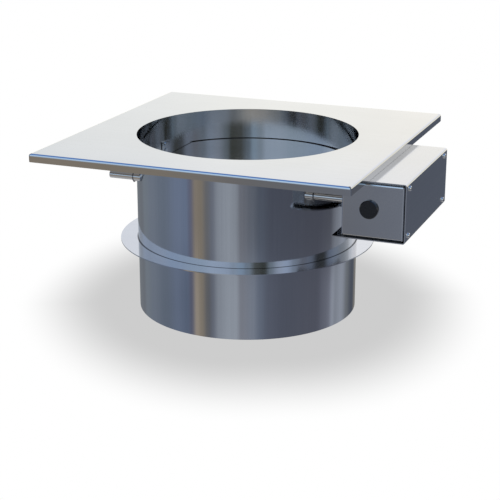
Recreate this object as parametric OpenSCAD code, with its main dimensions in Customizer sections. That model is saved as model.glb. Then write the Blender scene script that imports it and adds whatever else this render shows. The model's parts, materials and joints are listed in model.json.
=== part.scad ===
// Motorised chimney top damper: a square top plate on a round flue spigot, a damper
// blade on a cross shaft in front of its middle, and a drive box hung under the plate.
// Millimetres, +Z up. The origin is on the flue axis, in the plane where the stop ring
// rests on the chimney top.

/* [Top plate] */
// Side of the square top plate
plate_w = 500; // [450:5:560]
// Thickness of the folded sheet
sheet_t = 1.5; // [1:0.1:2]
// Depth of the turned down edge
fold_h = 12.6; // [9:0.1:18]
// Outer radius of the sheet bends
bend_r = 3.5; // [2.5:0.1:5]
// Open slot at each corner between two folds
corner_gap = 1.4; // [0.6:0.1:3]
// Height of the plate's top face above the stop ring's seat
top_z = 168.5; // [150:0.5:200]

/* [Flue tube] */
// Inner radius of the flue tube
flue_r = 175; // [150:0.5:193]
// Wall of the flue tube
tube_t = 1.2; // [1:0.1:2]
// Length of the spigot below the stop ring's seat
spigot_len = 113; // [80:1:160]
// How much smaller in radius the spigot is than the tube above the ring
spigot_ease = 0.6; // [0.6:0.1:1.5]
// Width of the stop ring outside the tube
ring_w = 27.8; // [20:0.1:40]
// Thickness of the stop ring
ring_t = 1.5; // [1:0.1:3]

/* [Blade] */
// Radial gap between the closed blade and the tube wall
blade_gap = 4.5; // [3:0.1:8]
// Distance from the tube's front wall to the cross shaft's centre line
shaft_in = 70; // [66:0.5:80]
// Gap between the open blade's straight ends and the tube wall
open_gap = 5; // [3:0.5:8]
// Thickness of the blade
blade_t = 1.5; // [1:0.1:2.5]
// Depth of the closed blade's upper face below the plate's top face
blade_depth = 50.5; // [45:0.5:60]
// Radius of the cross shaft
shaft_r = 6; // [5:0.1:7]
// Length of the shaft beyond the left bush
shaft_stub = 42; // [12:1:60]
// Wall of the bushes round the shaft
bush_wall = 1.4; // [1.2:0.1:2]
// Distance from each outer shaft clamp to the blade's rim
clamp_edge = 2; // [1:0.5:20]
// Width of each shaft clamp
clamp_w = 22; // [16:1:30]
// Thickness of each shaft clamp and of the pad above it
clamp_t = 2; // [1.5:0.1:2.5]
// Distance from the shaft's centre line to each clamp screw
clamp_screw_y = 15; // [13:0.5:18]

/* [Seat plates] */
// Slot between the blade's straight end and the fixed seat plate
seat_slot = 1.5; // [1:0.1:4]
// Height of the upturned tabs
tab_h = 10; // [8:0.5:14]
// Angle from the shaft's line to the middle of each tab
tab_angle = 16.6; // [14:0.2:22]
// Angle that each tab spans
tab_span = 6.4; // [5:0.2:8]

/* [Drive box] */
// How far the box stands out beyond the plate's edge
box_out = 55; // [45:0.1:70]
// Depth of the box from its inner wall to the cover's end
box_deep = 95; // [84:0.5:106]
// Distance from the cross shaft to the box's front end
box_nose = 60; // [56:1:75]
// Distance from the flue axis to the box's back end
box_back = 69; // [62:1:80]
// Height of the box
box_h = 87.6; // [78:0.2:98]
// Length of the cover's lips beyond the inner wall
cover_lip = 14; // [8:0.5:20]
// Gap between the cover and the box body, filled by the seal
cover_gap = 2.5; // [2:0.1:3.5]
// Width of the body's flanges behind the cover's end
flange_w = 24; // [20:0.5:30]
// Width of the body's lips along its top and bottom
lip_w = 10; // [8:0.5:14]
// Distance of the cover screws from the cover's front and back ends
screw_end = 17; // [14:0.5:20]
// Distance of the cover screws from the cover's top and bottom
screw_edge = 9; // [8.5:0.1:11]

/* [Cable entry] */
// Distance from the cover's end to the cable entry
entry_in = 54; // [45:0.5:62]
// Depth of the cable entry below the plate's top face
entry_depth = 54; // [45:0.5:62]
// Radius of the blind plug's head
plug_r = 13.7; // [13.3:0.1:17]
// Radius of the cable entry hole
entry_r = 12.5; // [11:0.1:13]

/* [Actuator] */
// Distance from the cross shaft to the actuator's front end
act_nose = 42; // [34:0.5:43]
// Room in the box behind the actuator
back_room = 34; // [24:0.5:35]
// Room in the box beyond the actuator, for its hub and clamp
end_room = 30.8; // [28:0.1:38]
// Room in the box under the actuator
under_room = 8.4; // [6:0.1:12]
// Radius of the turning hub
hub_r = 15; // [13:0.5:18]
// Radius of the release button
button_r = 7; // [5:0.5:9]

/* [Hidden] */
$fn = 96;

run_clear = 0.05;
loose_clear = 0.3;
weld_clear = 0.05;
nip = 0.1;

tube_r = flue_r + tube_t;
ring_r = tube_r + ring_w;
blade_r = flue_r - blade_gap;
blade_top = top_z - blade_depth;
shaft_z = blade_top - blade_t - clamp_t - shaft_r;
shaft_front = flue_r - shaft_in;
open_y = shaft_front - shaft_r - clamp_t;
blade_cut = sqrt(flue_r * flue_r - open_y * open_y) - open_gap;
seat_x = blade_cut + seat_slot;
seat_top = blade_top + loose_clear;

bush_r = shaft_r + bush_wall;
bush_flange_r = shaft_r + 6;
bush_flange_t = 2.5;
bush_out = 6;
bush_end = sqrt(tube_r * tube_r - shaft_front * shaft_front) + bush_out;
clip_t = 1.5;
clip_x = bush_end + run_clear;
clip_ear = 1.6;
clip_ear_out = 2.6;
shaft_left = bush_end + shaft_stub;
groove_depth = 0.6;

clamp_foot = 6;
clamp_reach = shaft_front + clamp_screw_y + clamp_foot;
clamp_x = sqrt(blade_r * blade_r - clamp_reach * clamp_reach) - clamp_w / 2 - clamp_edge;

clamp_screw_r = 2.5;
clamp_head_r = 4.8;
clamp_head_h = 2.8;
clamp_nut_r = 4.6;
clamp_nut_h = 4;

rivet_r = 2;
rivet_head_r = 3.6;
rivet_head_h = 1.2;

box_x = plate_w / 2 + box_out;
wall_x = box_x - box_deep;
entry_x = box_x - entry_in;
box_top = top_z - fold_h - 0.2;
box_bottom = box_top - box_h;
box_mid = (box_top + box_bottom) / 2;
box_front = shaft_front + box_nose;
body_top = box_top - sheet_t - cover_gap;
body_bottom = box_bottom + sheet_t + cover_gap;
body_front = box_front - 0.5;
body_back = box_back - 0.5;
body_end = box_x - sheet_t - 1.2;
body_bend = 2.5;
lip_relief = 0.5;

bracket_y = 42;
bracket_top = box_top - 8;
bracket_bottom = box_bottom + 8;
bracket_bolt_y = 28;
bracket_bolt_z = 26;
bolt_r = 3;
bolt_head_r = 5.5;
bolt_head_h = 2.8;
bolt_nut_r = 5.7;
bolt_nut_h = 5;

act_x = wall_x + sheet_t + 4;
act_end = body_end - end_room;
act_w = act_end - act_x;
act_h = 2 * (min(shaft_z - box_bottom, box_top - shaft_z) - under_room);
act_front = shaft_front + act_nose;
act_back = box_back - back_room;
act_round = 6;
hub_flange_r = hub_r + 4;
jaw_w = 34;
jaw_t = 12;
jaw_x = act_end + 5;
jaw_top = shaft_r + 8;
clamp_nut_t = 5;
u_bolt_r = 3;
u_bolt_y = shaft_r + u_bolt_r + 0.4;
shaft_right = jaw_x + jaw_t + 5;
button_y = -act_front / 4;
button_travel = 4;
button_out = 5;
button_bore = button_travel + 6;

cover_screw_r = 2;
cover_head_r = 3.8;
cover_head_h = 2.4;
cover_screw_len = 12;
clip_nut_t = 2;
clip_nut_w = 12;
clip_nut_h = 8;
clip_nut_x = body_end - sheet_t - clip_nut_t - run_clear;
plug_head_t = 4;
plug_chamfer = 1;
plug_nut_t = 5;
plug_tail = 9;
strap_t = 2;
strap_w = 19;
strap_y = act_back + 1 + strap_w / 2;
strap_screw_z = 12;
strap_half_z = 18;
strap_tongue = 3;
strap_reach = 14;
strap_slot = 8;

steel = [0.78, 0.79, 0.80];
bright = [0.62, 0.66, 0.70];
zinc = [0.70, 0.72, 0.74];
nylon = [0.90, 0.89, 0.84];
black = [0.13, 0.14, 0.15];

// Quarter of a ring in the first quadrant, for a sheet bend
module quarter_ring(outer, wall) {
    intersection() {
        difference() {
            circle(outer);
            circle(outer - wall);
        }
        square(outer);
    }
}

// Rectangle with round corners, centred
module round_rect(w, h, r) {
    square([w - 2 * r, h], center = true);
    square([w, h - 2 * r], center = true);
    for (sx = [-1, 1], sy = [-1, 1])
        translate([sx * (w / 2 - r), sy * (h / 2 - r)])
            circle(r);
}

// Cylinder along +X from the given x
module rod_x(x, len, r) {
    translate([x, 0, 0])
        rotate([0, 90, 0])
            cylinder(h = len, r = r);
}

// Tube along +X from the given x
module tube_x(x, len, r, hole) {
    difference() {
        rod_x(x, len, r);
        rod_x(x - nip, len + 2 * nip, hole);
    }
}

// Hexagon along +X from the given x
module hex_x(x, len, r) {
    translate([x, 0, 0])
        rotate([0, 90, 0])
            cylinder(h = len, r = r, $fn = 6);
}

// Places its children on the cross shaft's centre line
module on_shaft() {
    translate([0, -shaft_front, shaft_z])
        children();
}

// Pan head screw along X: the head grows along +X from the given x, the shank runs back
module pan_screw_x(x, head_r, head_h, shank_r, shank_len) {
    difference() {
        union() {
            rod_x(x, head_h * 0.55, head_r);
            translate([x + head_h * 0.55, 0, 0])
                rotate([0, 90, 0])
                    cylinder(h = head_h * 0.45, r1 = head_r, r2 = head_r * 0.62);
        }
        for (a = [0, 90])
            rotate([a, 0, 0])
                translate([x + head_h * 0.45, -head_r * 0.5, -head_r * 0.12])
                    cube([head_h, head_r, head_r * 0.24]);
    }
    rod_x(x - shank_len, shank_len + nip, shank_r);
}

// Fold section of the plate: x outward from the centre, y up from the top face
module fold_section() {
    translate([plate_w / 2 - sheet_t, -fold_h])
        square([sheet_t, fold_h - bend_r]);
    translate([plate_w / 2 - bend_r, -bend_r])
        quarter_ring(bend_r, sheet_t);
}

// One folded edge of the plate, mitred at both ends so that the corners stay open
module fold_strip(angle) {
    half = plate_w / 2;
    rotate([0, 0, angle])
        intersection() {
            translate([0, half, 0])
                rotate([90, 0, 0])
                    linear_extrude(plate_w)
                        fold_section();
            translate([0, 0, -fold_h - nip])
                linear_extrude(fold_h + 2 * nip)
                    polygon([[0, 0], [half + nip, corner_gap - half],
                             [half + nip, half - corner_gap]]);
        }
}

module top_plate() {
    flat = plate_w - 2 * bend_r;
    color(steel)
        translate([0, 0, top_z])
            difference() {
                union() {
                    translate([-flat / 2, -flat / 2, -sheet_t])
                        cube([flat, flat, sheet_t]);
                    for (a = [0, 90, 180, 270])
                        fold_strip(a);
                }
                translate([0, 0, -sheet_t - nip])
                    cylinder(h = sheet_t + 2 * nip, r = flue_r, $fn = 240);
            }
}

// One hole across the wall of the tube at an angle from +X
module wall_hole(angle, z, r) {
    rotate([0, 0, angle])
        translate([0, 0, z])
            rod_x(flue_r - spigot_ease - 2, tube_t + spigot_ease + 4, r);
}

module flue_tube() {
    color(bright)
        difference() {
            union() {
                cylinder(h = top_z - sheet_t, r = tube_r, $fn = 240);
                translate([0, 0, -spigot_len])
                    cylinder(h = spigot_len + nip, r = tube_r - spigot_ease, $fn = 240);
            }
            cylinder(h = top_z, r = flue_r, $fn = 240);
            translate([0, 0, -spigot_len - nip])
                cylinder(h = spigot_len + 2 * nip, r = flue_r - spigot_ease, $fn = 240);
            on_shaft()
                rod_x(-tube_r, 2 * tube_r, bush_r + run_clear);
            for (side = [0, 180], dir = [-1, 1])
                wall_hole(side + dir * tab_angle, seat_top + tab_h / 2, rivet_r + run_clear);
        }
}

module stop_ring() {
    color(bright)
        difference() {
            cylinder(h = ring_t, r = ring_r, $fn = 240);
            translate([0, 0, -nip])
                cylinder(h = ring_t + 2 * nip, r = tube_r + weld_clear, $fn = 240);
        }
}

module damper_blade() {
    color(bright)
        difference() {
            translate([0, 0, blade_top - blade_t])
                intersection() {
                    cylinder(h = blade_t, r = blade_r, $fn = 240);
                    translate([-blade_cut, -blade_r, 0])
                        cube([2 * blade_cut, 2 * blade_r, blade_t]);
                }
            for (x = [-clamp_x, 0, clamp_x], dir = [-1, 1])
                translate([x, dir * clamp_screw_y - shaft_front, blade_top - blade_t - nip])
                    cylinder(h = blade_t + 2 * nip, r = clamp_screw_r + run_clear);
        }
}

module blade_shaft() {
    color(zinc)
        on_shaft()
            difference() {
                rod_x(-shaft_left, shaft_left + shaft_right, shaft_r);
                for (x = [-clip_x - clip_t - run_clear, clip_x - run_clear])
                    tube_x(x, clip_t + 2 * run_clear, shaft_r + 1, shaft_r - groove_depth);
            }
}

// Saddle strap that holds the shaft against its pad under the blade, seen along X
module clamp_section() {
    outer = shaft_r + clamp_t + run_clear;
    difference() {
        union() {
            circle(outer);
            translate([-outer, 0])
                square([2 * outer, shaft_r]);
            translate([-clamp_screw_y - clamp_foot, shaft_r - clamp_t])
                square([2 * (clamp_screw_y + clamp_foot), clamp_t]);
        }
        circle(shaft_r + run_clear);
        translate([-shaft_r - run_clear, 0])
            square([2 * (shaft_r + run_clear), shaft_r + clamp_t]);
        translate([-outer - nip, shaft_r])
            square([2 * (outer + nip), clamp_t + nip + outer]);
    }
}

module shaft_clamps() {
    color(zinc)
        for (x = [-clamp_x, 0, clamp_x])
            on_shaft()
                difference() {
                    translate([x - clamp_w / 2, 0, 0])
                        rotate([90, 0, 90])
                            linear_extrude(clamp_w)
                                clamp_section();
                    for (dir = [-1, 1])
                        translate([x, dir * clamp_screw_y, 0])
                            cylinder(h = shaft_r + nip, r = clamp_screw_r + run_clear);
                }
}

// Flat pads between the blade and the shaft, as long as the clamps' feet
module clamp_pads() {
    pad_w = 2 * (clamp_screw_y + clamp_foot);
    color(zinc)
        for (x = [-clamp_x, 0, clamp_x])
            on_shaft()
                difference() {
                    translate([x - clamp_w / 2, -pad_w / 2, shaft_r])
                        cube([clamp_w, pad_w, clamp_t]);
                    for (dir = [-1, 1])
                        translate([x, dir * clamp_screw_y, shaft_r - nip])
                            cylinder(h = clamp_t + 2 * nip, r = clamp_screw_r + run_clear);
                }
}

// Screw down through the blade, a pad and a clamp, with its head on the blade
module clamp_screw() {
    translate([0, 0, blade_top])
        rotate([0, -90, 0])
            pan_screw_x(0, clamp_head_r, clamp_head_h, clamp_screw_r,
                        blade_t + 2 * clamp_t + clamp_nut_h + 1.5);
}

module clamp_screws() {
    color(zinc)
        for (x = [-clamp_x, 0, clamp_x], dir = [-1, 1])
            translate([x, dir * clamp_screw_y - shaft_front, 0])
                clamp_screw();
}

module clamp_nuts() {
    color(zinc)
        for (x = [-clamp_x, 0, clamp_x], dir = [-1, 1])
            translate([x, dir * clamp_screw_y - shaft_front,
                       blade_top - blade_t - 2 * clamp_t - clamp_nut_h])
                difference() {
                    cylinder(h = clamp_nut_h, r = clamp_nut_r, $fn = 6);
                    translate([0, 0, -nip])
                        cylinder(h = clamp_nut_h + 2 * nip, r = clamp_screw_r + run_clear);
                }
}

// Turned bush let into the tube's wall on the +X side, cut flush with the wall inside
module wall_bush() {
    difference() {
        on_shaft()
            tube_x(0, bush_end, bush_r, shaft_r + run_clear);
        translate([0, 0, shaft_z - 2 * bush_r])
            cylinder(h = 4 * bush_r, r = flue_r + loose_clear, $fn = 240);
    }
}

module left_bush() {
    color(zinc)
        mirror([1, 0, 0])
            wall_bush();
}

module right_bush() {
    color(zinc)
        wall_bush();
}

// Flanged bush in the box's inner wall, with its flange inside the box
module box_bush() {
    color(nylon)
        on_shaft()
            difference() {
                union() {
                    rod_x(wall_x + sheet_t, bush_flange_t, bush_flange_r);
                    rod_x(wall_x - 1, sheet_t + 1 + nip, bush_r);
                }
                rod_x(wall_x - 1 - nip, sheet_t + 1 + bush_flange_t + 2 * nip,
                      shaft_r + run_clear);
            }
}

// Open ring clips with two ears that sit in the shaft's grooves against the bushes
module shaft_clips() {
    color(black)
        for (x = [-clip_x - clip_t, clip_x])
            on_shaft()
                difference() {
                    union() {
                        tube_x(x, clip_t, shaft_r + 2, shaft_r - groove_depth + run_clear);
                        translate([x, -clip_ear * 2, -shaft_r - clip_ear_out])
                            cube([clip_t, clip_ear * 4, clip_ear_out]);
                    }
                    rod_x(x - nip, clip_t + 2 * nip, shaft_r - groove_depth + run_clear);
                    translate([x - nip, -clip_ear / 2, -shaft_r - clip_ear_out - nip])
                        cube([clip_t + 2 * nip, clip_ear, shaft_r + clip_ear_out + nip]);
                }
}

// Fixed plate that closes the flue beyond the blade's straight end, on the +X side
module seat_plate() {
    edge_r = flue_r - 0.1;
    difference() {
        union() {
            translate([0, 0, seat_top - blade_t])
                intersection() {
                    cylinder(h = blade_t, r = edge_r, $fn = 240);
                    translate([seat_x, -flue_r, 0])
                        cube([flue_r, 2 * flue_r, blade_t]);
                }
            for (dir = [-1, 1])
                rotate([0, 0, dir * tab_angle - tab_span / 2])
                    translate([0, 0, seat_top - nip])
                        rotate_extrude(angle = tab_span, $fn = 240)
                            translate([edge_r - sheet_t, 0])
                                square([sheet_t, tab_h + nip]);
        }
        for (dir = [-1, 1])
            rotate([0, 0, dir * tab_angle])
                translate([0, 0, seat_top + tab_h / 2])
                    rod_x(edge_r - 8, 12, rivet_r + run_clear);
    }
}

module right_seat_plate() {
    color(bright)
        seat_plate();
}

module left_seat_plate() {
    color(bright)
        mirror([1, 0, 0])
            seat_plate();
}

module seat_rivets() {
    inner = flue_r - 0.1 - sheet_t;
    color(zinc)
        for (side = [0, 180], dir = [-1, 1])
            rotate([0, 0, side + dir * tab_angle])
                translate([0, 0, seat_top + tab_h / 2]) {
                    rod_x(inner - rivet_head_h - run_clear, rivet_head_h, rivet_head_r);
                    rod_x(inner - rivet_head_h, tube_r - inner + 2 * rivet_head_h, rivet_r);
                    rod_x(tube_r + run_clear, rivet_head_h, rivet_head_r - 0.8);
                }
}

// Channel between the tube and the box, seen from above
module bracket_section() {
    half = bracket_y;
    web_x = wall_x - sheet_t;
    start_x = sqrt(tube_r * tube_r - half * half) - 6;
    translate([web_x, -half + bend_r])
        square([sheet_t, 2 * (half - bend_r)]);
    for (dir = [-1, 1])
        scale([1, dir]) {
            translate([start_x, half - sheet_t])
                square([wall_x - bend_r - start_x, sheet_t]);
            translate([wall_x - bend_r, half - bend_r])
                quarter_ring(bend_r, sheet_t);
        }
}

// Four places where the bracket meets the box's inner wall
module at_bracket_bolts() {
    for (dy = [-1, 1], dz = [-1, 1])
        translate([0, dy * bracket_bolt_y, box_mid + dz * bracket_bolt_z])
            children();
}

module drive_bracket() {
    color(steel)
        difference() {
            translate([0, 0, bracket_bottom])
                linear_extrude(bracket_top - bracket_bottom)
                    bracket_section();
            translate([0, 0, bracket_bottom - nip])
                cylinder(h = bracket_top - bracket_bottom + 2 * nip, r = tube_r + weld_clear,
                         $fn = 240);
            at_bracket_bolts()
                rod_x(wall_x - sheet_t - nip, sheet_t + 2 * nip, bolt_r + run_clear);
        }
}

module bracket_bolts() {
    color(zinc)
        at_bracket_bolts() {
            rod_x(wall_x + sheet_t, bolt_head_h, bolt_head_r);
            rod_x(wall_x - sheet_t - bolt_nut_h - 2, 2 * sheet_t + bolt_nut_h + 2 + nip, bolt_r);
        }
}

module bracket_nuts() {
    color(zinc)
        at_bracket_bolts()
            difference() {
                hex_x(wall_x - sheet_t - bolt_nut_h, bolt_nut_h, bolt_nut_r);
                rod_x(wall_x - sheet_t - bolt_nut_h - nip, bolt_nut_h + 2 * nip,
                      bolt_r + run_clear);
            }
}

// Inner wall and side walls of the box body, seen from above
module body_section() {
    b = body_bend;
    for (end = [[-1, body_front], [1, body_back]])
        scale([1, end[0]]) {
            translate([wall_x + b, end[1] - b])
                mirror([1, 0])
                    quarter_ring(b, sheet_t);
            translate([wall_x + b, end[1] - sheet_t])
                square([body_end - wall_x - 2 * b, sheet_t]);
        }
}

// Parts of the box body that run on past the lips: inner wall and end flanges
module body_flange_section() {
    b = body_bend;
    translate([wall_x, -body_front + b])
        square([sheet_t, body_front + body_back - 2 * b]);
    for (end = [[-1, body_front], [1, body_back]])
        scale([1, end[0]]) {
            translate([body_end - b, end[1] - b])
                quarter_ring(b, sheet_t);
            translate([body_end - sheet_t, end[1] - flange_w])
                square([sheet_t, flange_w - b]);
        }
}

// Turned in lip along the top or bottom of a side wall, seen along X
module lip_section() {
    b = body_bend;
    translate([-b, -b])
        quarter_ring(b, sheet_t);
    translate([-lip_w, -sheet_t])
        square([lip_w - b, sheet_t]);
}

// Four places on the box's end where the cover is screwed on
module at_cover_screws() {
    for (y = [-box_front + screw_end, box_back - screw_end])
        for (z = [box_top - screw_edge, box_bottom + screw_edge])
            translate([0, y, z])
                children();
}

module box_body() {
    b = body_bend;
    color(steel)
        difference() {
            union() {
                translate([0, 0, body_bottom + b])
                    linear_extrude(body_top - body_bottom - 2 * b)
                        body_section();
                translate([0, 0, body_bottom + lip_relief])
                    linear_extrude(body_top - body_bottom - 2 * lip_relief)
                        body_flange_section();
                for (end = [[-1, body_front], [1, body_back]])
                    scale([1, end[0], 1])
                        for (z = [[1, body_top], [-1, body_bottom]])
                            translate([wall_x + b + lip_relief, end[1], z[1]])
                                scale([1, 1, z[0]])
                                    rotate([90, 0, 90])
                                        linear_extrude(body_end - wall_x - 2 * (b + lip_relief))
                                            lip_section();
            }
            on_shaft()
                rod_x(wall_x - nip, sheet_t + 2 * nip, bush_r + run_clear);
            at_bracket_bolts()
                rod_x(wall_x - nip, sheet_t + 2 * nip, bolt_r + run_clear);
            at_cover_screws()
                rod_x(body_end - sheet_t - nip, sheet_t + 2 * nip, cover_screw_r + loose_clear);
            translate([entry_x, -body_front + sheet_t + nip, top_z - entry_depth])
                rotate([90, 0, 0])
                    cylinder(h = sheet_t + 2 * nip, r = entry_r + run_clear);
            for (dir = [-1, 1])
                translate([0, strap_y, shaft_z + dir * strap_screw_z])
                    rod_x(wall_x - nip, sheet_t + 2 * nip, cover_screw_r + run_clear);
        }
}

// Cover seen along Y: top, end and bottom in one sheet
module cover_section() {
    start = wall_x - cover_lip;
    translate([start, box_top - sheet_t])
        square([box_x - bend_r - start, sheet_t]);
    translate([start, box_bottom])
        square([box_x - bend_r - start, sheet_t]);
    translate([box_x - sheet_t, box_bottom + bend_r])
        square([sheet_t, box_h - 2 * bend_r]);
    translate([box_x - bend_r, box_top - bend_r])
        quarter_ring(bend_r, sheet_t);
    translate([box_x - bend_r, box_bottom + bend_r])
        scale([1, -1])
            quarter_ring(bend_r, sheet_t);
}

module box_cover() {
    color(steel)
        difference() {
            translate([0, box_back, 0])
                rotate([90, 0, 0])
                    linear_extrude(box_front + box_back)
                        cover_section();
            at_cover_screws()
                rod_x(box_x - sheet_t - nip, sheet_t + 2 * nip, cover_screw_r + loose_clear);
        }
}

// Foam strips between the body's lips and the cover
module cover_seal() {
    strip_w = lip_w - body_bend - 2 * lip_relief;
    x0 = wall_x + body_bend + 2 * lip_relief;
    x1 = body_end - body_bend - 2 * lip_relief;
    y0 = body_bend + lip_relief;
    color(black)
        for (y = [-body_front + y0, body_back - y0 - strip_w])
            for (z = [body_top + run_clear, box_bottom + sheet_t + run_clear])
                translate([x0, y, z])
                    cube([x1 - x0, strip_w, cover_gap - 2 * run_clear]);
}

module cover_screws() {
    color(zinc)
        at_cover_screws()
            pan_screw_x(box_x + run_clear, cover_head_r, cover_head_h, cover_screw_r,
                        cover_screw_len);
}

// Spring steel nuts that clip over the body's end flanges
module screw_clips() {
    color(black)
        at_cover_screws()
            difference() {
                translate([clip_nut_x, -clip_nut_w / 2, -clip_nut_h / 2])
                    cube([clip_nut_t, clip_nut_w, clip_nut_h]);
                rod_x(clip_nut_x - nip, clip_nut_t + 2 * nip, cover_screw_r + run_clear);
            }
}

// Plug that closes the unused cable entry, along -Y
module blind_plug() {
    flat = plug_head_t - plug_chamfer;
    color(black)
        translate([entry_x, -body_front, top_z - entry_depth])
            rotate([90, 0, 0]) {
                cylinder(h = flat, r = plug_r);
                translate([0, 0, flat])
                    cylinder(h = plug_chamfer, r1 = plug_r, r2 = plug_r - plug_chamfer);
                translate([0, 0, -sheet_t - plug_tail])
                    cylinder(h = sheet_t + plug_tail + nip, r = entry_r);
            }
}

module plug_nut() {
    color(black)
        translate([entry_x, -body_front + sheet_t, top_z - entry_depth])
            rotate([-90, 0, 0])
                difference() {
                    cylinder(h = plug_nut_t, r = entry_r + 4.5, $fn = 6);
                    translate([0, 0, -nip])
                        cylinder(h = plug_nut_t + 2 * nip, r = entry_r + run_clear);
                }
}

module actuator_body() {
    mid_y = (act_back - act_front) / 2;
    len = act_front + act_back;
    color("orange")
        difference() {
            union() {
                translate([act_x, mid_y, shaft_z])
                    rotate([90, 0, 90])
                        linear_extrude(act_w)
                            round_rect(len, act_h, act_round);
                on_shaft()
                    rod_x(act_end - nip, 2 + nip, hub_flange_r + 6);
                translate([act_end - nip, button_y, shaft_z])
                    rotate([0, 90, 0])
                        cylinder(h = 2 + nip, r = button_r + 4);
            }
            translate([act_x + act_w * 0.5, mid_y, shaft_z])
                rotate([90, 0, 90])
                    linear_extrude(1.2)
                        difference() {
                            square([len + 2, act_h + 2], center = true);
                            round_rect(len - 2, act_h - 2, act_round - 1);
                        }
            on_shaft()
                rod_x(act_x - nip, act_w + 4, hub_r + run_clear);
            translate([0, button_y, shaft_z])
                rod_x(act_end - button_bore, 2 * button_bore, button_r + run_clear);
            translate([act_x - nip, act_back - strap_slot + nip, shaft_z - strap_tongue - 1])
                cube([strap_reach, strap_slot, 2 * strap_tongue + 2]);
        }
}

module actuator_hub() {
    color("silver")
        on_shaft()
            difference() {
                union() {
                    rod_x(act_x, act_w + 2 + nip + loose_clear, hub_r);
                    rod_x(act_end + 2 + loose_clear, 3, hub_flange_r);
                    translate([jaw_x, -jaw_w / 2, 0])
                        cube([jaw_t, jaw_w, jaw_top]);
                }
                rod_x(act_x - nip, jaw_x + jaw_t - act_x + 2 * nip, shaft_r + run_clear);
                for (dir = [-1, 1])
                    translate([jaw_x + jaw_t / 2, dir * u_bolt_y, -nip])
                        cylinder(h = jaw_top + 2 * nip, r = u_bolt_r + run_clear);
            }
}

// Bent clamp bolt that goes round the shaft and up through the jaw
module hub_clamp() {
    x = jaw_x + jaw_t / 2;
    leg = jaw_top + clamp_nut_t + 5;
    bow = u_bolt_y;
    color("dimgray")
        translate([x, -shaft_front, shaft_z]) {
            for (dir = [-1, 1])
                translate([0, dir * bow, 0])
                    cylinder(h = leg, r = u_bolt_r);
            rotate([0, 90, 0])
                rotate([0, 0, -90])
                    rotate_extrude(angle = 180)
                        translate([bow, 0])
                            circle(u_bolt_r);
        }
}

module clamp_bolt_nuts() {
    x = jaw_x + jaw_t / 2;
    color("dimgray")
        for (dir = [-1, 1])
            translate([x, dir * u_bolt_y - shaft_front, shaft_z + jaw_top])
                difference() {
                    cylinder(h = clamp_nut_t, r = 5.4, $fn = 6);
                    translate([0, 0, -nip])
                        cylinder(h = clamp_nut_t + 2 * nip, r = u_bolt_r + run_clear);
                }
}

// Pointer ring on the hub flange that shows the blade's position
module position_pointer() {
    color("white")
        on_shaft()
            difference() {
                union() {
                    rod_x(act_end + 2 + loose_clear, 2.5, hub_flange_r + 3);
                    translate([act_end + 2 + loose_clear, hub_flange_r, -3])
                        cube([2.5, 10, 6]);
                }
                rod_x(act_end, 10, hub_flange_r + run_clear);
            }
}

module release_button() {
    color("lightgreen")
        translate([0, button_y, shaft_z])
            union() {
                rod_x(act_end - 1, button_out + 1, button_r);
                translate([act_end + button_out - nip, 0, 0])
                    rotate([0, 90, 0])
                        cylinder(h = 1 + nip, r1 = button_r, r2 = button_r - 1);
            }
}

// Angled strap that stops the actuator from turning with the shaft
module holding_strap() {
    tongue_t = 5;
    tongue_y = act_back - tongue_t - 1;
    color(zinc)
        difference() {
            union() {
                translate([wall_x + sheet_t, strap_y - strap_w / 2, shaft_z - strap_half_z])
                    cube([strap_t, strap_w, 2 * strap_half_z]);
                translate([wall_x + sheet_t, tongue_y, shaft_z - strap_tongue])
                    cube([strap_t, strap_y - tongue_y, 2 * strap_tongue]);
                translate([wall_x + sheet_t, tongue_y, shaft_z - strap_tongue])
                    cube([strap_reach, tongue_t, 2 * strap_tongue]);
            }
            for (dir = [-1, 1])
                translate([0, strap_y, shaft_z + dir * strap_screw_z])
                    rod_x(wall_x + sheet_t - nip, strap_t + 2 * nip, cover_screw_r + run_clear);
        }
}

module strap_screws() {
    color(zinc)
        for (dir = [-1, 1])
            translate([0, strap_y, shaft_z + dir * strap_screw_z])
                pan_screw_x(wall_x + sheet_t + strap_t, cover_head_r, cover_head_h,
                            cover_screw_r, strap_t + sheet_t + 3);
}

top_plate();
flue_tube();
stop_ring();
damper_blade();
blade_shaft();
shaft_clamps();
clamp_pads();
clamp_screws();
clamp_nuts();
left_bush();
right_bush();
box_bush();
shaft_clips();
left_seat_plate();
right_seat_plate();
seat_rivets();
drive_bracket();
bracket_bolts();
bracket_nuts();
box_body();
box_cover();
cover_seal();
cover_screws();
screw_clips();
blind_plug();
plug_nut();
actuator_body();
actuator_hub();
hub_clamp();
clamp_bolt_nuts();
position_pointer();
release_button();
holding_strap();
strap_screws();
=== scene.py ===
import json
import math

import bpy
from mathutils import Matrix, Vector


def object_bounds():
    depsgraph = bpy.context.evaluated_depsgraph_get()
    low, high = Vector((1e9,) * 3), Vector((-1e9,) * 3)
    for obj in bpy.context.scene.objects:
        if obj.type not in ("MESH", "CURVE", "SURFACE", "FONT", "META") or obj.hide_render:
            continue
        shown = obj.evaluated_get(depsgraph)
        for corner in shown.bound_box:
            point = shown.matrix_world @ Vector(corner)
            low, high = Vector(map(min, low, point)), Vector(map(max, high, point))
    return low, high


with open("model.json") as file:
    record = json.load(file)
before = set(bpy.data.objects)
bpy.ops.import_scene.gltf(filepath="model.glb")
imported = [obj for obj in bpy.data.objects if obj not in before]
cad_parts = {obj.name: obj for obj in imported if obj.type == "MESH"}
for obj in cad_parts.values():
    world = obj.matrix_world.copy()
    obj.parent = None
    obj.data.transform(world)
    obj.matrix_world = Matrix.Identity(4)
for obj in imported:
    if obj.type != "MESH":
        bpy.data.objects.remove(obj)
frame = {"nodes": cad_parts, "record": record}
CAD_BOX = [list(c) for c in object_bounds()]
MM = 0.001

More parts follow.
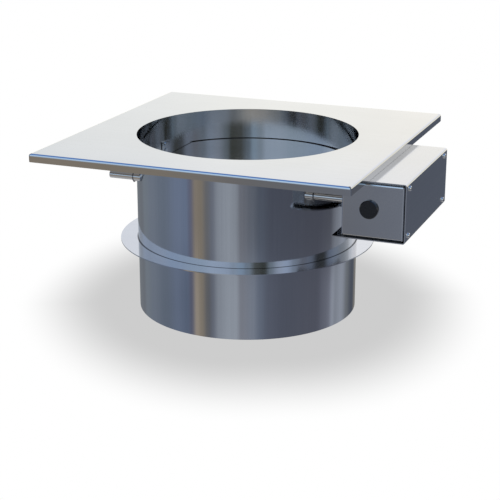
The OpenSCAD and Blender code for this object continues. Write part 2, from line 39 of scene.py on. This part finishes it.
# Camera, as fitted to the plate's corners, the bore, the tube, the ring and the box
CAM_TARGET = Vector((39.699, -89.726, 5.333)) * MM
CAM_AZ, CAM_EL, CAM_ROLL = (math.radians(a) for a in (21.637, 18.164, 0.074))
CAM_DIST = 2076.511 * MM
CAM_FOCAL_PX = 1341.706
CAM_CLIP = (0.05, 60.0)
FRAME_PX = 500
SENSOR = 36.0


def make_camera():
    back = Vector((
        math.sin(CAM_AZ) * math.cos(CAM_EL),
        -math.cos(CAM_AZ) * math.cos(CAM_EL),
        math.sin(CAM_EL),
    ))
    right = Vector((math.cos(CAM_AZ), math.sin(CAM_AZ), 0.0))
    up = back.cross(right)
    c, s = math.cos(CAM_ROLL), math.sin(CAM_ROLL)
    right, up = right * c + up * s, up * c - right * s
    data = bpy.data.cameras.new("camera")
    data.sensor_fit = "HORIZONTAL"
    data.sensor_width = SENSOR
    data.lens = CAM_FOCAL_PX / FRAME_PX * SENSOR
    data.clip_start, data.clip_end = CAM_CLIP
    cam = bpy.data.objects.new("camera", data)
    place = Matrix((right, up, back)).transposed().to_4x4()
    place.translation = CAM_TARGET + back * CAM_DIST
    cam.matrix_world = place
    bpy.context.scene.collection.objects.link(cam)
    bpy.context.scene.camera = cam


# Node trees
class Tree:
    """Short calls for building a node tree. A value is a number, a tuple or another node's socket,
    and None leaves an input as it is."""

    def __init__(self, tree):
        self.tree = tree
        tree.nodes.clear()

    def node(self, kind, **values):
        n = self.tree.nodes.new(kind)
        for key, value in values.items():
            setattr(n, key, value)
        return n

    def put(self, socket, value):
        if isinstance(value, bpy.types.NodeSocket):
            self.tree.links.new(value, socket)
        elif value is not None:
            socket.default_value = value

    def coords(self, kind):
        return self.node("ShaderNodeTexCoord").outputs[kind]

    def split(self, vector):
        n = self.node("ShaderNodeSeparateXYZ")
        self.put(n.inputs[0], vector)
        return n.outputs

    def math(self, op, a, b=None, c=None):
        n = self.node("ShaderNodeMath", operation=op)
        for socket, value in zip(n.inputs, (a, b, c)):
            self.put(socket, value)
        return n.outputs[0]

    def length(self, vector):
        n = self.node("ShaderNodeVectorMath", operation="LENGTH")
        self.put(n.inputs[0], vector)
        return n.outputs["Value"]

    def mix(self, factor, a, b, blend="MIX"):
        # The colours go in at inputs 6 and 7, and the mixed colour comes out at output 2.
        n = self.node("ShaderNodeMix", data_type="RGBA", blend_type=blend)
        n.clamp_factor = True
        self.put(n.inputs[0], factor)
        self.put(n.inputs[6], a)
        self.put(n.inputs[7], b)
        return n.outputs[2]

    def times(self, a, b):
        return self.mix(1.0, a, b, "MULTIPLY")

    def smooth(self, value, low, high, to_low=0.0, to_high=1.0):
        n = self.node("ShaderNodeMapRange", interpolation_type="SMOOTHSTEP")
        for socket, v in zip(n.inputs, (value, low, high, to_low, to_high)):
            self.put(socket, v)
        return n.outputs[0]

    def noise(self, vector, scale, detail, rough):
        n = self.node("ShaderNodeTexNoise")
        self.put(n.inputs["Vector"], vector)
        self.put(n.inputs["Scale"], scale)
        self.put(n.inputs["Detail"], detail)
        self.put(n.inputs["Roughness"], rough)
        return n.outputs[0]

    def stretch(self, vector, scale, turn=(0.0, 0.0, 0.0)):
        n = self.node("ShaderNodeMapping")
        self.put(n.inputs["Vector"], vector)
        self.put(n.inputs["Rotation"], turn)
        self.put(n.inputs["Scale"], scale)
        return n.outputs[0]

    def ramp(self, value, stops, mode="LINEAR"):
        n = self.node("ShaderNodeValToRGB")
        n.color_ramp.interpolation = mode
        elements = n.color_ramp.elements
        while len(elements) < len(stops):
            elements.new(0.5)
        for element, (place, colour) in zip(elements, stops):
            element.position = place
            element.color = opaque(colour)
        self.put(n.inputs[0], value)
        return n.outputs[0]

    def end(self, kind, shader):
        n = self.node(kind)
        self.put(n.inputs["Surface"], shader.outputs[0])


def opaque(colour):
    return (*colour, 1.0)


def new_material(name):
    mat = bpy.data.materials.new(name)
    mat.use_nodes = True
    return mat, Tree(mat.node_tree)


# Surroundings
# The steel mirrors soft panels that stand all round the object in a low and a high row. Each
# entry is a panel's middle in degrees round from the camera side, its colour and its brightness.
LOW_PANELS = [
    (-180, (1.00, 0.97, 0.92), 0.28),
    (-150, (0.83, 0.92, 1.00), 0.24),
    (-123, (0.79, 0.87, 1.00), 0.28),
    (-111, (0.72, 0.84, 1.00), 0.38),
    (-95, (0.66, 0.78, 1.00), 0.40),
    (-75, (0.61, 0.75, 1.00), 0.37),
    (-54, (0.54, 0.68, 1.00), 0.48),
    (-44, (0.52, 0.67, 1.00), 0.46),
    (-39, (0.62, 0.68, 1.00), 0.33),
    (-33, (1.00, 0.87, 0.73), 0.395),
    (-27, (1.00, 0.88, 0.73), 0.36),
    (-20, (0.88, 0.92, 1.02), 0.265),
    (-15, (0.72, 0.81, 1.03), 0.335),
    (-8, (0.75, 0.84, 1.00), 0.55),
    (3, (0.76, 0.85, 1.00), 0.61),
    (9, (0.76, 0.85, 1.00), 0.54),
    (15, (0.77, 0.83, 1.00), 0.325),
    (27, (0.69, 0.79, 1.00), 0.27),
    (34, (0.62, 0.74, 1.00), 0.22),
    (46, (0.64, 0.73, 1.00), 0.18),
    (100, (0.69, 0.75, 1.00), 0.16),
    (116, (0.72, 0.78, 1.00), 0.17),
    (126, (0.75, 0.83, 1.00), 0.40),
    (140, (0.75, 0.83, 1.00), 0.56),
    (152, (0.80, 0.88, 1.00), 0.30),
    (162, (0.66, 0.76, 1.00), 0.18),
    (171, (0.66, 0.76, 1.00), 0.18),
    (180, (1.00, 0.97, 0.92), 0.28),
]
HIGH_PANELS = [
    (-180, (1.00, 0.99, 0.95), 1.24),
    (-168, (1.00, 0.98, 0.93), 1.34),
    (-160, (1.00, 1.00, 0.965), 1.29),
    (-152, (0.97, 0.99, 0.99), 1.20),
    (-143, (0.88, 0.95, 1.00), 1.02),
    (-129, (0.81, 0.90, 1.00), 0.77),
    (-112, (0.69, 0.82, 1.00), 1.13),
    (-84, (0.66, 0.80, 1.00), 1.20),
    (-62, (0.59, 0.76, 1.00), 0.94),
    (-28, (0.64, 0.81, 1.00), 0.93),
    (-14, (0.66, 0.81, 1.00), 1.02),
    (1, (0.66, 0.81, 1.00), 1.00),
    (8, (0.66, 0.82, 0.99), 0.67),
    (15, (0.59, 0.79, 1.00), 0.83),
    (21, (0.66, 0.83, 1.00), 0.34),
    (30, (0.90, 1.00, 0.96), 0.14),
    (39, (0.88, 0.98, 0.88), 0.12),
    (45, (0.72, 0.88, 1.02), 0.36),
    (54, (0.70, 0.82, 1.00), 0.58),
    (63, (0.65, 0.79, 1.00), 0.64),
    (71, (0.68, 0.82, 1.00), 0.43),
    (80, (0.75, 0.83, 1.00), 0.40),
    (90, (0.66, 0.78, 1.00), 0.52),
    (99, (0.78, 0.88, 1.00), 0.16),
    (106, (0.88, 0.97, 1.00), 0.12),
    (117, (0.65, 0.78, 1.00), 0.45),
    (126, (0.70, 0.83, 1.00), 0.74),
    (140, (0.86, 0.94, 1.00), 0.87),
    (156, (0.95, 0.99, 1.00), 0.97),
    (168, (1.00, 1.00, 0.99), 1.12),
    (180, (1.00, 0.99, 0.95), 1.26),
]
# The low row's feet and the high row's heads are this much brighter than the rows, or darker.
FEET = [
    (-180, 0.85), (-141, 1.0), (-90, 0.97), (-60, 0.86), (-45, 0.75), (-39, 0.85), (-33, 1.36),
    (-27, 1.1), (-20, 0.85), (-10, 1.0), (4, 1.08), (14, 1.4), (28, 1.84), (44, 1.45),
    (60, 1.25), (98, 1.35), (110, 1.9), (118, 2.3), (128, 1.25), (145, 1.0), (180, 0.85),
]
HEADS = [
    (-180, 1.05), (-155, 0.95), (-141, 0.78), (-129, 0.95), (-105, 0.88), (-84, 0.93), (-60, 1.3),
    (-20, 1.33), (2, 1.28), (9, 1.6), (15, 1.28), (24, 2.4), (31, 1.5), (38, 1.1), (46, 1.7),
    (57, 2.05), (72, 1.7), (81, 1.05), (93, 0.82), (100, 0.58), (106, 0.75), (117, 1.2),
    (126, 0.85), (138, 0.7), (150, 0.9), (158, 1.4), (168, 1.28), (180, 1.06),
]
FEET_TINT = (1.0, 1.0, 1.0)
HEADS_TINT = (1.0, 1.015, 1.07)
COOL_TINT = (0.985, 1.0, 1.05)
NADIR = (0.62, 0.62, 0.63)
HORIZON = (1.36, 1.32, 1.17)
ZENITH_FRONT = (0.82, 1.20, 1.62)
ZENITH_BACK = (0.17, 0.36, 0.86)
# Each zone passes into the next between two heights on a sphere of radius 1 round the object.
NADIR_EDGE = (-0.88, -0.55)
FEET_EDGE = (-0.30, -0.34)
ROW_EDGE = (-0.16, -0.10)
HORIZON_EDGE = (0.17, 0.12)
COOL_EDGE = (0.225, 0.275)
HEADS_EDGE = (0.25, 0.29)
ZENITH_EDGE = (0.43, 0.60)
# The front passes into the back between these two places along the same sphere's Y axis.
BACK_EDGE = (-0.70, -0.25)
# What isn't mirrored sees a white room this bright, and the camera sees plain white.
ROOM_LIGHT = 0.28
WHITE = (1.0, 1.0, 1.0)


def panel_stops(panels):
    return [
        (degrees / 360 + 0.5, tuple(c * level for c in colour)) for degrees, colour, level in panels
    ]


def level_stops(levels, tint):
    return panel_stops([(degrees, tint, level) for degrees, level in levels])


def make_mirrored(t):
    """The colour that the steel mirrors in each direction."""
    x, y, z = t.split(t.coords("Generated"))
    turn = t.math("ARCTAN2", x, t.math("MULTIPLY", y, -1.0))
    place = t.math("MULTIPLY_ADD", turn, 0.5 / math.pi, 0.5)
    low = t.ramp(place, panel_stops(LOW_PANELS), "EASE")
    high = t.ramp(place, panel_stops(HIGH_PANELS), "EASE")
    feet = t.ramp(place, level_stops(FEET, FEET_TINT), "EASE")
    heads = t.ramp(place, level_stops(HEADS, HEADS_TINT), "EASE")
    back = t.smooth(y, *BACK_EDGE)
    low = t.mix(t.smooth(z, *FEET_EDGE), low, t.times(low, feet))
    high = t.mix(t.smooth(z, *HEADS_EDGE), high, t.times(high, heads))
    high = t.mix(t.smooth(z, *COOL_EDGE), high, t.times(high, opaque(COOL_TINT)))
    high = t.mix(t.smooth(z, *HORIZON_EDGE), high, t.mix(back, high, opaque(HORIZON)))
    top = t.mix(back, opaque(ZENITH_FRONT), opaque(ZENITH_BACK))
    above = t.mix(t.smooth(z, *ZENITH_EDGE), high, top)
    below = t.mix(t.smooth(z, *NADIR_EDGE), opaque(NADIR), low)
    return t.mix(t.smooth(z, *ROW_EDGE), below, above)


def make_world():
    world = bpy.data.worlds.new("studio")
    world.use_nodes = True
    bpy.context.scene.world = world
    t = Tree(world.node_tree)
    ray = t.node("ShaderNodeLightPath")
    mirrored = t.node("ShaderNodeBackground")
    t.put(mirrored.inputs["Color"], make_mirrored(t))
    plain = t.node("ShaderNodeBackground")
    t.put(plain.inputs["Color"], opaque(WHITE))
    bright = t.math("MULTIPLY_ADD", ray.outputs["Is Camera Ray"], 1.0 - ROOM_LIGHT, ROOM_LIGHT)
    t.put(plain.inputs["Strength"], bright)
    pick = t.node("ShaderNodeMixShader")
    t.put(pick.inputs[0], ray.outputs["Is Glossy Ray"])
    t.put(pick.inputs[1], plain.outputs[0])
    t.put(pick.inputs[2], mirrored.outputs[0])
    t.end("ShaderNodeOutputWorld", pick)


# Floor and lamp
FLOOR_Z = CAD_BOX[0][2]
FLOOR_HALF = 14.0
FLOOR_CORNERS = [(-1, -1), (1, -1), (1, 1), (-1, 1)]
# The soft shadow is painted shadow: the floor only glows and takes no lamp light, so its glow is
# dimmed over an oval that is longer towards the camera than across. How far out a point lies is its
# way from the centre across and along, each less a flat part and then divided by a span. The
# painted shadow is full up to one such number and ends at the next.
SHADOW_TURN = math.radians(25.5)
SHADOW_CENTRE = (0.009, 0.004)
SHADOW_FLAT = (0.032, -0.070)
SHADOW_SPAN = (0.415, 0.625)
SHADOW_FULL, SHADOW_END = 0.512, 0.872
SHADOW_LEVEL = 0.610
LAMP_PLACE = (0.02, 0.0, 2.0)
LAMP_SIZE = 1.45
LAMP_POWER = 60.0


def painted_shadow_reach(t):
    turned = t.stretch(t.coords("Object"), (1.0, 1.0, 1.0), (0.0, 0.0, -SHADOW_TURN))
    squares = []
    for place, middle, flat, span in zip(t.split(turned), SHADOW_CENTRE, SHADOW_FLAT, SHADOW_SPAN):
        off = t.math("ABSOLUTE", t.math("SUBTRACT", place, middle))
        share = t.math("DIVIDE", t.math("MAXIMUM", t.math("SUBTRACT", off, flat), 0.0), span)
        squares.append(t.math("MULTIPLY", share, share))
    return t.math("SQRT", t.math("ADD", *squares))


def make_floor():
    mesh = bpy.data.meshes.new("floor")
    corners = [(x * FLOOR_HALF, y * FLOOR_HALF, FLOOR_Z) for x, y in FLOOR_CORNERS]
    mesh.from_pydata(corners, [], [(0, 1, 2, 3)])
    floor = bpy.data.objects.new("floor", mesh)
    bpy.context.scene.collection.objects.link(floor)
    mat, t = new_material("floor")
    shader = t.node("ShaderNodeEmission")
    # Painted shadow: the glow dims to the shadow level inside the oval.
    level = t.smooth(painted_shadow_reach(t), SHADOW_FULL, SHADOW_END, SHADOW_LEVEL, 1.0)
    t.put(shader.inputs["Color"], level)
    t.end("ShaderNodeOutputMaterial", shader)
    mesh.materials.append(mat)
    floor.visible_glossy = False


def make_lamp():
    data = bpy.data.lights.new("overhead", "AREA")
    data.shape = "DISK"
    data.size = LAMP_SIZE
    data.energy = LAMP_POWER
    lamp = bpy.data.objects.new("overhead", data)
    lamp.location = LAMP_PLACE
    lamp.visible_glossy = False
    bpy.context.scene.collection.objects.link(lamp)


# Looks
# Noise stays mostly between these two values, so a look's colours and roughness spread over them.
SHEET_SPREAD = (0.35, 0.65)
SPREAD = (0.3, 0.7)
SHEET_TINT = (0.50, 0.50, 0.50)
# Roll lines shift the colour this much. On every sheet this is grain; on the tube, whose lines run
# upright, it is also painted reflection of the upright streaks the steel mirrors.
SHEET_GRAIN_AND_REFLECTION_STREAK = 0.04
SHEET_CLOUD = 9.0
SHEET_DEPTH = 0.2 * MM
# Painted shade: a dark band on the ring next to the tube stands for the shadowed gap between them.
PAINTED_GAP_SHADE = (0.01, 0.01, 0.012)
RING_GAP_SHADE_RADII = (177.4 * MM, 178.0 * MM)
TURNED_GRAIN = (30, 1800, 1800)
TURNED_MOTTLE = 220.0
TURNED_SHADE = 0.92
TURNED_BUMP, TURNED_DEPTH = 0.05, 0.1 * MM
PLASTIC_PATCH = 40.0
PLASTIC_SHADE = 0.88
PLASTIC_ROUGH = (-0.06, 0.08)
PLASTIC_DEPTH = 0.2 * MM
# The box's seals are black below the first height and painted lighter above the second, as painted
# light that makes the upper seals read lit and leaves the lower ones in shade.
SEAL_PAINTED_LIGHT = (0.17, 0.20, 0.24)
PAINTED_LIGHT_HEIGHTS = (90 * MM, 140 * MM)


def shaded(tint, share):
    return tuple(c * share for c in tint)


def halves(t, a, b):
    return t.math("MULTIPLY_ADD", a, 0.5, t.math("MULTIPLY", b, 0.5))


def finish_surface(t, colour, rough, metallic, height, strength, depth):
    shader = t.node("ShaderNodeBsdfPrincipled")
    t.put(shader.inputs["Base Color"], colour)
    t.put(shader.inputs["Metallic"], metallic)
    t.put(shader.inputs["Roughness"], rough)
    bump = t.node("ShaderNodeBump")
    t.put(bump.inputs["Strength"], strength)
    t.put(bump.inputs["Distance"], depth)
    t.put(bump.inputs["Height"], height)
    t.put(shader.inputs["Normal"], bump.outputs[0])
    t.end("ShaderNodeOutputMaterial", shader)


def sheet_steel(name, rough, grain, bump=0.0, gap_shade=None):
    """Rolled sheet: faint roll lines and clouds in colour and roughness, and shallow roll lines; on
    the tube the colour lines are also painted reflection.
    Where gap shade radii are given, painted shade runs round the flue axis: dark up to the first
    radius, for the shadowed gap where the ring meets the tube, and clear from the second."""
    mat, t = new_material(name)
    p = t.coords("Object")
    lines = t.noise(t.stretch(p, grain), 1.0, detail=3.0, rough=0.6)
    both = halves(t, t.noise(p, SHEET_CLOUD, detail=3.0, rough=0.5), lines)
    tints = [shaded(SHEET_TINT, 1 - SHEET_GRAIN_AND_REFLECTION_STREAK), shaded(SHEET_TINT, 1 + SHEET_GRAIN_AND_REFLECTION_STREAK)]
    colour = t.ramp(both, list(zip(SHEET_SPREAD, tints)))
    if gap_shade is not None:
        # Painted shade round the flue axis between the two radii.
        gap_shade_mask = t.smooth(t.length(t.stretch(p, (1.0, 1.0, 0.0))), *gap_shade)
        colour = t.mix(gap_shade_mask, opaque(PAINTED_GAP_SHADE), colour)
    finish_surface(t, colour, t.smooth(both, *SHEET_SPREAD, *rough), 1.0, lines, bump, SHEET_DEPTH)
    return mat


def turned_steel(name, tint, rough):
    """Turned or plated steel: fine rings round the piece and a mottled plating."""
    mat, t = new_material(name)
    p = t.coords("Object")
    rings = t.noise(t.stretch(p, TURNED_GRAIN), 1.0, detail=2.0, rough=0.5)
    mixed = halves(t, rings, t.noise(p, TURNED_MOTTLE, detail=3.0, rough=0.6))
    colour = t.ramp(mixed, list(zip(SPREAD, [shaded(tint, TURNED_SHADE), tint])))
    spread = t.smooth(mixed, *SPREAD, *rough)
    finish_surface(t, colour, spread, 1.0, rings, TURNED_BUMP, TURNED_DEPTH)
    return mat


def plastic(name, tint, rough, scale=900.0, bump=0.12, painted_light_tint=None):
    """Moulded plastic or foam: fine grain and slightly uneven colour, and painted light higher up
    when a tint for it is given.
    """
    mat, t = new_material(name)
    p = t.coords("Object")
    grain = t.noise(p, scale, detail=2.0, rough=0.6)
    patch = t.noise(p, PLASTIC_PATCH, detail=2.0, rough=0.5)
    colour = t.ramp(patch, list(zip(SPREAD, [shaded(tint, PLASTIC_SHADE), tint])))
    if painted_light_tint is not None:
        # Painted light: above the given heights the colour turns to the lighter tint.
        colour = t.mix(t.smooth(t.split(p)[2], *PAINTED_LIGHT_HEIGHTS), colour, opaque(painted_light_tint))
    spread = t.smooth(grain, *SPREAD, *(rough + r for r in PLASTIC_ROUGH))
    finish_surface(t, colour, spread, 0.0, grain, bump, PLASTIC_DEPTH)
    return mat


def make_looks():
    """One look for each material slot. A sheet's grain is long along its smallest number's axis."""
    return {
        "plate_steel": sheet_steel("plate_steel", (0.05, 0.08), (6, 500, 500), bump=0.02),
        # The tube's upright colour lines are grain and also painted reflection of mirrored streaks.
        "tube_steel": sheet_steel("tube_steel", (0.07, 0.10), (500, 500, 5)),
        # The ring gets a band of painted shade at its inner edge, where it meets the tube.
        "ring_steel": sheet_steel("ring_steel", (0.08, 0.11), (6, 500, 500), gap_shade=RING_GAP_SHADE_RADII),
        "blade_steel": sheet_steel("blade_steel", (0.08, 0.11), (6, 500, 500)),
        "box_steel": sheet_steel("box_steel", (0.09, 0.15), (500, 6, 500), bump=0.02),
        "cover_steel": sheet_steel("cover_steel", (0.09, 0.15), (500, 6, 500), bump=0.02),
        "turned_steel": turned_steel("turned_steel", (0.55, 0.55, 0.55), (0.05, 0.10)),
        "zinc_steel": turned_steel("zinc_steel", (0.66, 0.65, 0.63), (0.12, 0.22)),
        "fastener_steel": turned_steel("fastener_steel", (0.62, 0.62, 0.62), (0.12, 0.22)),
        "spring_steel": turned_steel("spring_steel", (0.20, 0.20, 0.21), (0.25, 0.35)),
        "nylon": plastic("nylon", (0.78, 0.76, 0.70), 0.40),
        # The seals' upper part is painted lighter, as painted light.
        "seal_foam": plastic("seal_foam", (0.010, 0.011, 0.012), 0.85, 1400.0, 0.4, SEAL_PAINTED_LIGHT),
        "black_plastic": plastic("black_plastic", (0.003, 0.004, 0.006), 0.18),
        "actuator_plastic": plastic("actuator_plastic", (0.52, 0.12, 0.03), 0.42),
        "pointer_plastic": plastic("pointer_plastic", (0.80, 0.80, 0.78), 0.35),
        "button_plastic": plastic("button_plastic", (0.10, 0.35, 0.12), 0.40),
    }


def dress_nodes():
    looks = make_looks()
    slot_of = {s["node"]: s["material_slot"] for s in frame["record"]["subparts"]}
    for name, obj in frame["nodes"].items():
        slots = obj.data.materials
        if not slots:
            slots.append(None)
        for i in range(len(slots)):
            slots[i] = looks[slot_of[name]]


# The scene
make_camera()
make_world()
make_floor()
make_lamp()
bpy.context.scene.view_settings.view_transform = "Standard"
dress_nodes()
